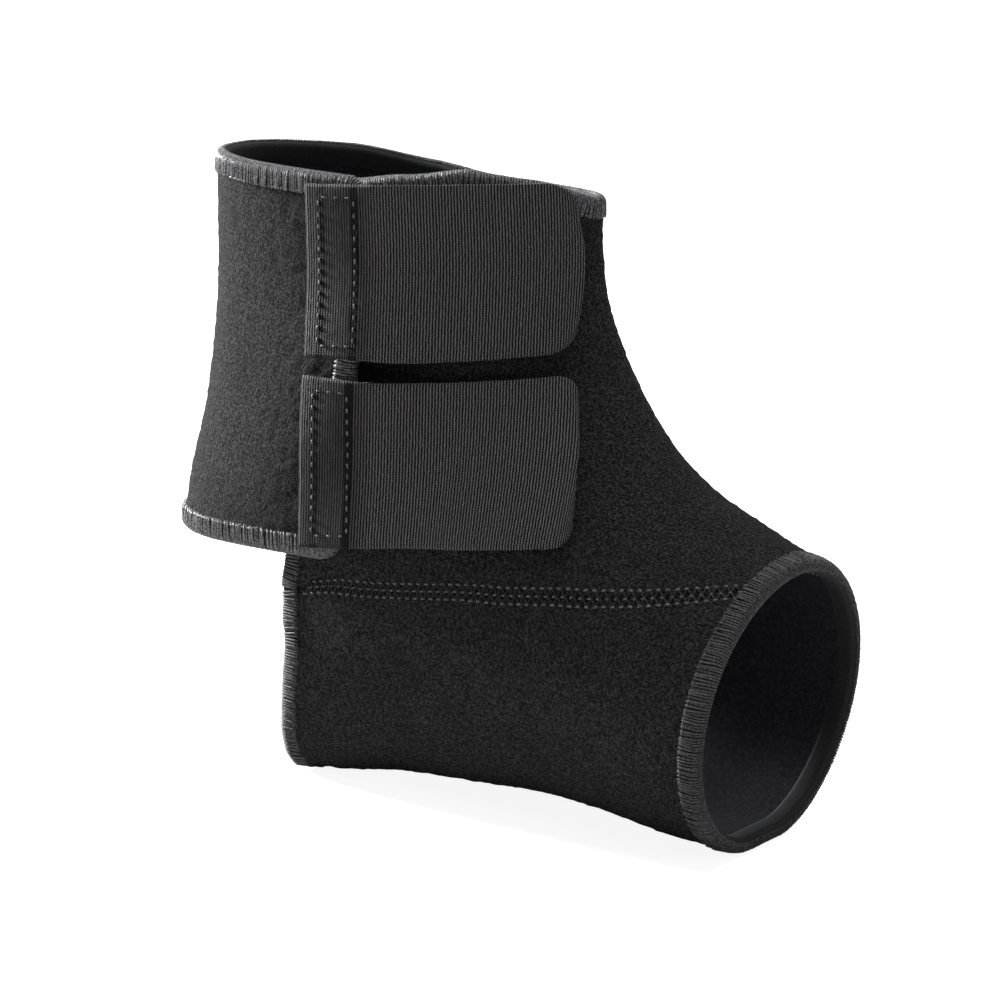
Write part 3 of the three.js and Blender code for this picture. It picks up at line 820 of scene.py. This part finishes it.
def moved_place(places, direction, distance):
    """Places moved over the wall by a distance, for the inner side of a thread band."""
    row, turn, _ = places.T
    row_step, turn_step = 0.02, 0.01
    along_row = (body_point(row + row_step, turn) - body_point(row - row_step, turn)) / (2 * row_step)
    along_turn = (body_point(row, turn + turn_step) - body_point(row, turn - turn_step)) / (2 * turn_step)
    rr, rt, tt = ((a * b).sum(-1) for a, b in ((along_row, along_row), (along_row, along_turn),
                                               (along_turn, along_turn)))
    dr, dt = ((step * direction).sum(-1) * distance for step in (along_row, along_turn))
    scale = rr * tt - rt * rt
    return places_of(row + (dr * tt - dt * rt) / scale, turn + (dt * rr - dr * rt) / scale, places[:, 2])


def edge_frame(path, closed, step, on_wrap):
    """Evenly spaced middles of a cut edge with the outward and normal directions there."""
    points = lifted_point(*path.T)
    at = even_steps(points, step, closed)
    ring = np.concatenate([path, path[:1] + [[0, 2 * math.pi, 0]]]) if closed else path
    places = rows_at(ring, at)
    middles = lifted_point(*places.T)
    before, after = np.roll(middles, 1, 0), np.roll(middles, -1, 0)
    if not closed:
        before[0], after[-1] = middles[0], middles[-1]
    along = unit(after - before)
    outward = unit(np.cross(along, body_normal(places[:, 0], places[:, 1])))
    outward = unit(smooth_rows(outward, closed, 3))
    inner = moved_place(places, outward, -EDGE_BAND)
    if on_wrap:
        inner[:, 2] = wrap_lift(inner[:, 1])
    inward_points = lifted_point(*inner.T)
    chord = unit(smooth_rows(unit(middles - inward_points), closed, 2))
    normal = unit(body_normal(places[:, 0], places[:, 1]) + body_normal(inner[:, 0], inner[:, 1]))
    normal = unit(normal - chord * (normal * chord).sum(-1, keepdims=True))
    return middles, chord, normal


# %% One overlock loop and its repeat by Geometry Nodes
LOOP_RADIUS = 0.33 * MM
LOOP_HALF = WALL / 2 + 0.42 * MM
ROUND_CENTRE = -1.45 * MM
BAND_START = -EDGE_BAND + 0.3 * MM
LOOP_SHOWN = 9
LOOP_SLANT = 0.7 * EDGE_STEP
LOOP_UNEVEN = 0.07


def loop_profile(half, ends):
    """Section of the wrapped edge: in along the outside, round the rim and back along the inside."""
    turns = np.linspace(math.pi / 2, -math.pi / 2, 9)
    nose = np.stack([ROUND_CENTRE + half * np.cos(turns), half * np.sin(turns)], axis=-1)
    shoulder = BAND_START * 0.75 + ROUND_CENTRE * 0.25
    top = np.array([[BAND_START, half - ends], [shoulder, half], [-3 * MM, half]])
    return np.concatenate([top, nose, top[::-1] * [1, -1]])


def ring_mesh(name, rings, closed, cap_faces, material):
    """Mesh through rings of points, faced outwards and capped at both ends unless it is closed."""
    numbers = numbered(*rings.shape[:2])
    numbers = np.concatenate([numbers, numbers[:, :1]], axis=1)
    if closed:
        numbers = np.concatenate([numbers, numbers[:1]])
    faces = grid_faces(numbers).tolist()
    if not closed:
        faces += cap_faces(numbers[0, :-1].tolist(), numbers[-1, :-1].tolist())
    mesh = bpy.data.meshes.new(name)
    mesh.from_pydata(rings.reshape(-1, 3).tolist(), [], faces)
    work = bmesh.new()
    work.from_mesh(mesh)
    bmesh.ops.recalc_face_normals(work, faces=work.faces)
    work.to_mesh(mesh)
    work.free()
    mesh.shade_smooth()
    mesh.materials.append(material)
    return mesh


def tube(points, radius, sides, name, material):
    """Closed tube through points."""
    along = unit(np.gradient(points, axis=0))
    side = unit(np.cross(along, [0.0, 1.0, 0.001]))
    other = np.cross(along, side)
    turns = np.arange(sides) * 2 * math.pi / sides
    cosine, sine = np.cos(turns)[:, None], np.sin(turns)[:, None]
    rings = points[:, None] + radius * (cosine * side[:, None] + sine * other[:, None])
    mesh = ring_mesh(name, rings, False, lambda first, last: [first, last[::-1]], material)
    return bpy.data.objects.new(name, mesh)


profile = loop_profile(LOOP_HALF, ends=0.25 * MM)[:LOOP_SHOWN]
slant = np.linspace(-0.5, 0.5, len(profile)) * LOOP_SLANT
loop_line = np.stack([profile[:, 0], slant, profile[:, 1]], axis=-1)
loop = tube(loop_line, LOOP_RADIUS, 5, "overlock_loop", LIT_THREAD)
print("one loop has", len(loop.data.polygons), "faces")


# %% Repeat tree
def repeat_tree():
    """Copies a stitch to every point, along its outward and normal directions, a little unevenly."""
    tree = bpy.data.node_groups.new("repeat_stitch", "GeometryNodeTree")
    for name, kind in (("Points", "Geometry"), ("Stitch", "Object"), ("Thread", "Material"),
                       ("Unevenness", "Float"), ("Seed", "Int")):
        tree.interface.new_socket(name, in_out="INPUT", socket_type="NodeSocket" + kind)
    tree.interface.new_socket("Stitches", in_out="OUTPUT", socket_type="NodeSocketGeometry")
    given = add(tree, "NodeGroupInput").outputs
    outward, normal = (add(tree, "GeometryNodeInputNamedAttribute", values={"Name": name},
                           data_type="FLOAT_VECTOR") for name in ("outward", "normal"))
    turned = add(tree, "FunctionNodeAxesToRotation", {0: outward.outputs[0], 1: normal.outputs[0]},
                 primary_axis="X", secondary_axis="Z")
    least = maths(tree, "MULTIPLY", given["Unevenness"], -1.0)
    low = add(tree, "ShaderNodeCombineXYZ", {i: least for i in range(3)})
    high = add(tree, "ShaderNodeCombineXYZ", {i: given["Unevenness"] for i in range(3)})
    limits = {0: low.outputs[0], 1: high.outputs[0], "Seed": given["Seed"]}
    shaken = add(tree, "FunctionNodeRandomValue", limits, data_type="FLOAT_VECTOR")
    tilt = add(tree, "FunctionNodeEulerToRotation", {0: shaken.outputs[0]})
    rotation = add(tree, "FunctionNodeRotateRotation", {0: turned.outputs[0], 1: tilt.outputs[0]},
                   rotation_space="LOCAL")
    stitch = add(tree, "GeometryNodeObjectInfo", {0: given["Stitch"]})
    copies = add(tree, "GeometryNodeInstanceOnPoints", {
        "Points": given["Points"], "Instance": stitch.outputs["Geometry"], "Rotation": rotation.outputs[0]})
    real = add(tree, "GeometryNodeRealizeInstances", {0: copies.outputs[0]})
    painted = add(tree, "GeometryNodeSetMaterial", {0: real.outputs[0], "Material": given["Thread"]})
    add(tree, "NodeGroupOutput", {0: painted.outputs[0]})
    return tree


REPEAT = repeat_tree()
print("repeat tree has", len(REPEAT.nodes), "nodes")


def repeated(name, points, outward, normal, stitch, thread, unevenness, seed):
    """Plain mesh with a stitch at every point."""
    mesh = bpy.data.meshes.new(name)
    mesh.from_pydata(points.tolist(), [], [])
    for label, values in (("outward", outward), ("normal", normal)):
        layer = mesh.attributes.new(label, "FLOAT_VECTOR", "POINT")
        layer.data.foreach_set("vector", values.astype(np.float32).ravel())
    carrier = placed_object(name, mesh)
    modifier = carrier.modifiers.new("repeat", "NODES")
    modifier.node_group = REPEAT
    wanted = {"Stitch": stitch, "Thread": thread, "Unevenness": unevenness, "Seed": seed}
    for item in REPEAT.interface.items_tree:
        if item.name in wanted:
            modifier[item.identifier] = wanted[item.name]
    shown = carrier.evaluated_get(bpy.context.evaluated_depsgraph_get())
    result = bpy.data.meshes.new_from_object(shown)
    carrier.modifiers.clear()
    carrier.data = result
    result.materials.clear()
    result.materials.append(thread)
    result.polygons.foreach_set("material_index", np.zeros(len(result.polygons), dtype=np.int32))
    result.shade_smooth()
    print(name, "repeats", len(points), "times,", len(result.polygons), "faces")
    return carrier


# %% Needle stitches that hold the loops down
NEEDLE_PITCH = 2.6 * MM
NEEDLE_LINE = -EDGE_BAND + 0.9 * MM
NEEDLE_LIFT = LOOP_HALF - 0.1 * MM
NEEDLE_UNEVEN = 0.06


def stitch_shape(name, material, length, radius, sag):
    """One stitch lying along Y, sinking at both ends."""
    t = np.linspace(-1, 1, 7)
    body = np.stack([0 * t, 0.5 * length * t, sag * (1 - t**4) - sag * 0.5], axis=-1)
    made = tube(body[:, [1, 0, 2]], radius, 6, name, material)
    made.data.transform(Matrix.Rotation(math.pi / 2, 4, "Z"))
    return made


needle_stitch = stitch_shape("needle_stitch", LIT_THREAD, length=1.9 * MM, radius=0.18 * MM, sag=0.2 * MM)
print("needle stitch has", len(needle_stitch.data.polygons), "faces")


# %% Bed and loops joined for each edge
BED_HALF = LOOP_HALF - 0.12 * MM
BED_INNER_HALF = LOOP_HALF - 0.45 * MM
BED_ENDS = 0.3 * MM


def swept_bed(name, middles, outward, normal, closed):
    """Closed thread bed round a cut edge, a little under the loops."""
    outer = loop_profile(BED_HALF, BED_ENDS)
    across, out = np.concatenate([outer, loop_profile(BED_INNER_HALF, BED_ENDS)[::-1]]).T
    rings = middles[:, None] + across[:, None] * outward[:, None] + out[:, None] * normal[:, None]

    def strips(*ends):
        steps = range(len(outer) - 1)
        return [[end[k], end[k + 1], end[-2 - k], end[-1 - k]] for end in ends for k in steps]

    return ring_mesh(name, rings, closed, strips, BED)


def joined(name, meshes, spares):
    """One object from several meshes, keeping each one's material. The spare objects are removed."""
    work = bmesh.new()
    made = bpy.data.meshes.new(name)
    for number, mesh in enumerate(meshes):
        first = len(work.faces)
        work.from_mesh(mesh)
        work.faces.ensure_lookup_table()
        for face in work.faces[first:]:
            face.material_index = number
        made.materials.append(mesh.materials[0])
    work.to_mesh(made)
    work.free()
    joint = placed_object(name, made)
    for spare in spares:
        bpy.data.objects.remove(spare)
    return joint


def overlocked_edge(node, path, closed, on_wrap, thread, seed):
    """One cut edge finished with a bed, loops on it and the needle stitches that hold them."""
    middles, outward, normal = edge_frame(path, closed, EDGE_STEP, on_wrap)
    bed = swept_bed(node + "_bed", middles, outward, normal, closed)
    loops = repeated(node + "_loops", middles, outward, normal, loop, thread, LOOP_UNEVEN, seed)
    far = np.arange(0, len(middles), NEEDLE_PITCH / EDGE_STEP).astype(int)
    line = middles[far] + outward[far] * NEEDLE_LINE + normal[far] * NEEDLE_LIFT
    stitches = repeated(node + "_needle", line, outward[far], normal[far], needle_stitch, thread,
                        NEEDLE_UNEVEN, seed + 1)
    print(node, "has", len(middles), "loops")
    return joined(node + "_thread", [bed, loops.data, stitches.data], [loops, stitches])


# Edges in shade take the darker copy of the thread and the lit edges take the lighter one: painted shade and
# painted highlight.
edges = {}
for node, path, closed, on_wrap, thread, seed in (
    ("front_rim_overlock", front_rim_path(), True, False, DULL_SHADED_THREAD, 11),
    ("heel_edge_overlock", heel_edge_path(), False, False, DULL_SHADED_THREAD, 21),
    ("hem_overlock", hem_path(), False, True, LIT_THREAD, 31),
    ("near_edge_overlock", near_edge_path(), False, False, DULL_SHADED_THREAD, 41),
    ("top_rim_overlock", top_rim_path(), False, True, LIT_THREAD, 51),
):
    edges[node] = overlocked_edge(node, path, closed, on_wrap, thread, seed)

# %% [markdown]
# ## Seams and strap stitches
# The side seams are flat seams: three needle rows with cover threads zigzagging between them. The straps
# are sewn down with a box of longer stitches. All of them are copies of a few small stitch shapes.

# %% Flat side seams
SEAM_PITCH = 2.6 * MM
SEAM_ROWS = (-2.7 * MM, 0.0, 2.7 * MM)
COVER_ROWS = (-1.35 * MM, 1.35 * MM)
COVER_SWING = 0.6
SEAM_UNEVEN = 0.15
COVER_UNEVEN = 0.05
COVER_SEED = 10
SEAM_SPAN = (0.35, SEAM_END_ROW - 0.28)
MIDDLE_SINKS = 0.25 * MM
COVER_LIFT = WALL / 2 - 0.1 * MM
dot_stitch = stitch_shape("seam_stitch", NEEDLE, length=1.0 * MM, radius=0.36 * MM, sag=0.3 * MM)
cover_stitch = stitch_shape("cover_stitch", BED, length=3.2 * MM, radius=0.24 * MM, sag=0.2 * MM)


def seam_frame(sign, offset, step):
    """Evenly spaced points beside a seam with the directions across it and out of the cloth."""
    rows = np.linspace(*SEAM_SPAN, FINE)
    path = places_of(rows, nudge(rows, sign * seam_turn(rows), offset))
    at = even_steps(body_point(*path[:, :2].T), step, False)
    places = rows_at(path, at)
    normal = body_normal(*places[:, :2].T)
    points = body_point(*places[:, :2].T)
    along = unit(np.gradient(points, axis=0))
    return points, unit(np.cross(along, normal)), normal


def side_seam(name, sign, seed):
    """Needle rows on both sides of the cloth, and cover threads between them on the outside."""
    made = []
    for number, offset in enumerate(SEAM_ROWS):
        points, outward, normal = seam_frame(sign, offset, SEAM_PITCH)
        lift = WALL / 2 - (MIDDLE_SINKS if offset == 0 else 0.0)
        for side in (1, -1):
            made.append(repeated(name, points + normal * side * lift, outward, normal * side, dot_stitch,
                                 NEEDLE, SEAM_UNEVEN, seed + number))
    for number, offset in enumerate(COVER_ROWS):
        points, outward, normal = seam_frame(sign, offset, SEAM_PITCH / 2)
        swing = np.where(np.arange(len(points)) % 2 == 0, COVER_SWING, -COVER_SWING)[:, None]
        across = unit(np.cross(normal, outward) + swing * outward)
        made.append(repeated(name, points + normal * COVER_LIFT, across, normal, cover_stitch, BED,
                             COVER_UNEVEN, seed + COVER_SEED + number))
    return joined(name, [m.data for m in made], made)


seams = [side_seam("near_side_seam", -1, 61), side_seam("far_side_seam", 1, 81)]

# %% Box stitches on the straps
BOX_PITCH = 3.1 * MM
BOX_IN = 4.4 * MM
BOX_LONG = 10.8 * MM
BOX_END = 3.6 * MM
BOX_UNEVEN = 0.08
BOX_SEED = 91
strap_stitch = stitch_shape("strap_stitch", NEEDLE, length=1.1 * MM, radius=0.28 * MM, sag=0.3 * MM)


def box_stitches(number):
    """Stitches along the four sides of a box on the sewn end of a strap."""
    length, half = strap_length(number), strap_line(number, 0.0)[3]
    near, far = BOX_IN / length, (BOX_IN + BOX_LONG) / length
    top = 1 - BOX_END / half
    corners = [(near, -top), (near, top), (far, top), (far, -top), (near, -top)]
    made = []
    for (a0, c0), (a1, c1) in zip(corners, corners[1:]):
        count = int(np.hypot((a1 - a0) * length, (c1 - c0) * half) / BOX_PITCH)
        t = (np.arange(count) + 0.5) / count
        places = strap_place(number, a0 + (a1 - a0) * t, c0 + (c1 - c0) * t)
        points, normal = lifted_point(*places.T), body_normal(*places[:, :2].T)
        outward = unit(np.cross(unit(np.gradient(points, axis=0)), normal))
        made.append((points + normal * (STRAP_THICKNESS / 2), outward, normal))
    points, outward, normal = (np.concatenate(values) for values in zip(*made))
    return repeated(STRAPS[number]["name"] + "_stitches", points, outward, normal, strap_stitch, NEEDLE,
                    BOX_UNEVEN, BOX_SEED + number)


boxes = [box_stitches(number) for number in range(len(STRAPS))]

# %% [markdown]
# ## Pieces on the body
# Every piece rides on the one body, and the CAD part that each panel, strap and overlocked edge stands for
# is hidden. The two panels and the two straps are sheets of cloth.

# %% Attaching the pieces
for piece, node in [(upper, "upper_panel"), (sole, "sole_panel"), (straps[0], "upper_strap"),
                    (straps[1], "lower_strap"), *((piece, node) for node, piece in edges.items())]:
    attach(piece, "root")
    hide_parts(node)
for piece in seams + boxes:
    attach(piece, "root")

# %% [markdown]
# ## Studio
# A black object on white needs light that grazes it. A small key light stands low on the left, where the
# photograph's highlights are, a wide one hangs above and behind, and a weak one fills from the right. The
# photograph is cut out on white, so the floor and world are white to the camera but light the object little.

# %% Floor, world and lights
CENTRE = (0.0, 0.0, 0.09)
FLOOR_REACH = 8.0
FLOOR_GLOW = 0.9
AMBIENT = 0.12
WHITE = (1, 1, 1, 1)


def soft_light(name, place, size, power):
    data = bpy.data.lights.new(name, "AREA")
    data.shape = "DISK"
    data.size = size
    data.energy = power
    obj = placed_object(name, data)
    obj.location = place
    obj.rotation_mode = "QUATERNION"
    obj.rotation_quaternion = (Vector(CENTRE) - Vector(place)).to_track_quat("-Z", "Y")
    print(name, "gives", power, "watts")


floor_mesh = bpy.data.meshes.new("floor")
floor_corners = [(x * FLOOR_REACH, y * FLOOR_REACH, 0) for x, y in ((-1, -1), (1, -1), (1, 1), (-1, 1))]
floor_mesh.from_pydata(floor_corners, [], [(0, 1, 2, 3)])
floor = placed_object("floor", floor_mesh)
floor_finish, floor_tree, floor_shader = finish_named("pale_matte_paper", 0.9, 0.1)
floor_shader.inputs["Base Color"].default_value = linear(0xbdbdbd)
camera_ray = add(floor_tree, "ShaderNodeLightPath").outputs["Is Camera Ray"]
floor_shader.inputs["Emission Color"].default_value = WHITE
floor_tree.links.new(maths(floor_tree, "MULTIPLY", camera_ray, FLOOR_GLOW),
                     floor_shader.inputs["Emission Strength"])
floor_mesh.materials.append(floor_finish)

world = bpy.data.worlds.new("white_studio")
world.use_nodes = True
studio = world.node_tree
bright = studio.nodes["Background"]
bright.inputs["Color"].default_value = WHITE
bright.inputs["Strength"].default_value = 1.0
dim = add(studio, "ShaderNodeBackground", values={"Color": WHITE, "Strength": AMBIENT})
seen = add(studio, "ShaderNodeLightPath").outputs["Is Camera Ray"]
both = add(studio, "ShaderNodeMixShader", {0: seen, 1: dim.outputs[0], 2: bright.outputs[0]})
studio.links.new(both.outputs[0], studio.nodes["World Output"].inputs["Surface"])
bpy.context.scene.world = world
bpy.context.scene.view_settings.view_transform = "Standard"
soft_light("key_light", (-1.45, -0.02, 0.55), size=0.35, power=90.0)
soft_light("fill_light", (1.4, -0.5, 0.9), size=0.7, power=3.0)
soft_light("overhead_light", (-0.2, 0.6, 2.4), size=2.4, power=64.0)

# %% Camera at the photograph's angle
AZIMUTH, ELEVATION, ROLL = math.radians(33.6), math.radians(14.2), math.radians(1.9)
DISTANCE = 1.3
FOCAL_PIXELS = 4485
IMAGE_PIXELS = 1000
SENSOR = 36
AIM_HEIGHT = 0.087
aim = Vector((0.0, 0.0, AIM_HEIGHT)) + Vector(SHIFT)
back = Vector((math.sin(AZIMUTH) * math.cos(ELEVATION), -math.cos(AZIMUTH) * math.cos(ELEVATION),
               math.sin(ELEVATION)))
right = Vector((0, 0, 1)).cross(back).normalized()
up = back.cross(right)
rolled_right = right * math.cos(ROLL) + up * math.sin(ROLL)
rolled_up = up * math.cos(ROLL) - right * math.sin(ROLL)
camera_data = bpy.data.cameras.new("camera")
camera_data.sensor_width = SENSOR
camera_data.lens = SENSOR * FOCAL_PIXELS / IMAGE_PIXELS
camera_data.clip_start = 0.05
camera = placed_object("camera", camera_data)
camera.matrix_world = Matrix.Translation(aim + back * DISTANCE) @ Matrix(
    (rolled_right, rolled_up, back)).transposed().to_4x4()
bpy.context.scene.camera = camera
print("camera", [round(v, 3) for v in camera.location])
